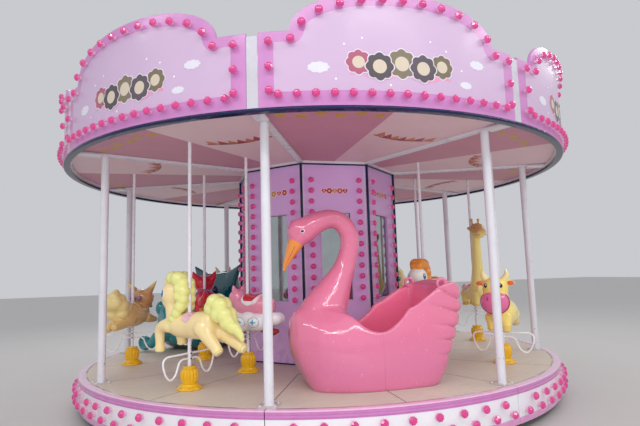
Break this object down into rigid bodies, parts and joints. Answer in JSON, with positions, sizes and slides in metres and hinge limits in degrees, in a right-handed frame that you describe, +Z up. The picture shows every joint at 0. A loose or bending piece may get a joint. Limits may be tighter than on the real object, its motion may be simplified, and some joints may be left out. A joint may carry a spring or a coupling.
{
  "type": "carousel",
  "caption": "Small fairground carousel with moulded animals on rising poles, a swan and a sea dragon carriage, round-topped crown boards and a mirrored centre column.",
  "frame": {"origin": "on the ground at the turning axis, under the centre column", "axes": "+Z up along the turning axis; the swan carriage is on the -Y side; seen from above the carousel runs clockwise, so the swan faces -X"},
  "size_m": [6.016, 6.016, 3.47],
  "materials": {
    "dark_steel": "satin dark grey paint on welded steel",
    "deck_sheet": "worn grey-beige sheet, dull",
    "pink_edge": "glossy moulded fibreglass",
    "white_skirt": "glossy moulded fibreglass",
    "white_paint": "gloss white paint",
    "ceiling_pink": "satin printed lining sheet",
    "crown_lilac": "glossy moulded fibreglass",
    "navy_trim": "high gloss paint",
    "roof_grey": "dull sheet",
    "column_lilac": "glossy moulded fibreglass",
    "mirror": "silvered sheet",
    "swan_pink": "high gloss gel coat on fibreglass",
    "seat_pink": "gloss gel coat on fibreglass",
    "sea_teal": "high gloss gel coat on fibreglass",
    "sea_seat": "high gloss gel coat on fibreglass",
    "pony_cream": "high gloss gel coat on fibreglass",
    "fox_tan": "high gloss gel coat on fibreglass",
    "cow_cream": "high gloss gel coat on fibreglass",
    "giraffe_yellow": "high gloss gel coat on fibreglass",
    "pig_pink": "high gloss gel coat on fibreglass",
    "dragon_red": "high gloss gel coat on fibreglass",
    "horse_white": "high gloss gel coat on fibreglass",
    "elephant_lilac": "high gloss gel coat on fibreglass"
  },
  "bodies": {
    "base": {"base_frame": "dark_steel"},
    "turntable": {"turning_frame": "dark_steel", "deck": "deck_sheet", "deck_edge": "pink_edge", "skirt": "white_skirt", "post_1": "white_paint", "post_2": "white_paint", "post_3": "white_paint", "post_4": "white_paint", "post_5": "white_paint", "post_6": "white_paint", "post_7": "white_paint", "post_8": "white_paint", "canopy_frame": "white_paint", "ceiling": "ceiling_pink", "crown_board_1": "crown_lilac", "crown_board_2": "crown_lilac", "crown_board_3": "crown_lilac", "crown_board_4": "crown_lilac", "crown_board_5": "crown_lilac", "crown_board_6": "crown_lilac", "crown_board_7": "crown_lilac", "crown_board_8": "crown_lilac", "crown_trim": "navy_trim", "roof_cover": "roof_grey", "column_housing": "column_lilac", "column_mirror": "mirror", "column_corners": "navy_trim", "swan_body": "swan_pink", "swan_seat": "seat_pink", "sea_dragon_body": "sea_teal", "sea_dragon_seat": "sea_seat"},
    "pony_jumper": {"pony": "pony_cream", "pony_pole": "white_paint"},
    "fox_jumper": {"fox": "fox_tan", "fox_pole": "white_paint"},
    "cow_jumper": {"cow": "cow_cream", "cow_pole": "white_paint"},
    "giraffe_jumper": {"giraffe": "giraffe_yellow", "giraffe_pole": "white_paint"},
    "pony_second_jumper": {"pony_second": "pony_cream", "pony_second_pole": "white_paint"},
    "fox_second_jumper": {"fox_second": "fox_tan", "fox_second_pole": "white_paint"},
    "cloud_pig_jumper": {"cloud_pig": "pig_pink", "cloud_pig_pole": "white_paint"},
    "dragon_jumper": {"dragon": "dragon_red", "dragon_pole": "white_paint"},
    "white_horse_jumper": {"white_horse": "horse_white", "white_horse_pole": "white_paint"},
    "elephant_jumper": {"elephant": "elephant_lilac", "elephant_pole": "white_paint"},
    "cloud_pig_second_jumper": {"cloud_pig_second": "pig_pink", "cloud_pig_second_pole": "white_paint"},
    "elephant_second_jumper": {"elephant_second": "elephant_lilac", "elephant_second_pole": "white_paint"}
  },
  "joints": [
    {"name": "turntable_spin", "type": "hinge", "parent": "base", "child": "turntable", "pos_m": [0, 0, 0.22], "axis": [0, 0, 1], "continuous": true},
    {"name": "pony_lift", "type": "slide", "parent": "turntable", "child": "pony_jumper", "axis": [0, 0, 1], "range_m": [-0.04, 0.11]},
    {"name": "fox_lift", "type": "slide", "parent": "turntable", "child": "fox_jumper", "axis": [0, 0, 1], "range_m": [-0.04, 0.11]},
    {"name": "cow_lift", "type": "slide", "parent": "turntable", "child": "cow_jumper", "axis": [0, 0, 1], "range_m": [-0.04, 0.11]},
    {"name": "giraffe_lift", "type": "slide", "parent": "turntable", "child": "giraffe_jumper", "axis": [0, 0, 1], "range_m": [-0.04, 0.11]},
    {"name": "pony_second_lift", "type": "slide", "parent": "turntable", "child": "pony_second_jumper", "axis": [0, 0, 1], "range_m": [-0.04, 0.11]},
    {"name": "fox_second_lift", "type": "slide", "parent": "turntable", "child": "fox_second_jumper", "axis": [0, 0, 1], "range_m": [-0.04, 0.11]},
    {"name": "cloud_pig_lift", "type": "slide", "parent": "turntable", "child": "cloud_pig_jumper", "axis": [0, 0, 1], "range_m": [-0.11, 0.04]},
    {"name": "dragon_lift", "type": "slide", "parent": "turntable", "child": "dragon_jumper", "axis": [0, 0, 1], "range_m": [-0.11, 0.04]},
    {"name": "white_horse_lift", "type": "slide", "parent": "turntable", "child": "white_horse_jumper", "axis": [0, 0, 1], "range_m": [-0.11, 0.04]},
    {"name": "elephant_lift", "type": "slide", "parent": "turntable", "child": "elephant_jumper", "axis": [0, 0, 1], "range_m": [-0.11, 0.04]},
    {"name": "cloud_pig_second_lift", "type": "slide", "parent": "turntable", "child": "cloud_pig_second_jumper", "axis": [0, 0, 1], "range_m": [-0.11, 0.04]},
    {"name": "elephant_second_lift", "type": "slide", "parent": "turntable", "child": "elephant_second_jumper", "axis": [0, 0, 1], "range_m": [-0.11, 0.04]}
  ],
  "couplings": [
    {"joint": "fox_lift", "follows": "pony_lift", "ratio": 1},
    {"joint": "cow_lift", "follows": "pony_lift", "ratio": 1},
    {"joint": "giraffe_lift", "follows": "pony_lift", "ratio": 1},
    {"joint": "pony_second_lift", "follows": "pony_lift", "ratio": 1},
    {"joint": "fox_second_lift", "follows": "pony_lift", "ratio": 1},
    {"joint": "cloud_pig_lift", "follows": "pony_lift", "ratio": -1},
    {"joint": "dragon_lift", "follows": "pony_lift", "ratio": -1},
    {"joint": "white_horse_lift", "follows": "pony_lift", "ratio": -1},
    {"joint": "elephant_lift", "follows": "pony_lift", "ratio": -1},
    {"joint": "cloud_pig_second_lift", "follows": "pony_lift", "ratio": -1},
    {"joint": "elephant_second_lift", "follows": "pony_lift", "ratio": -1}
  ]
}
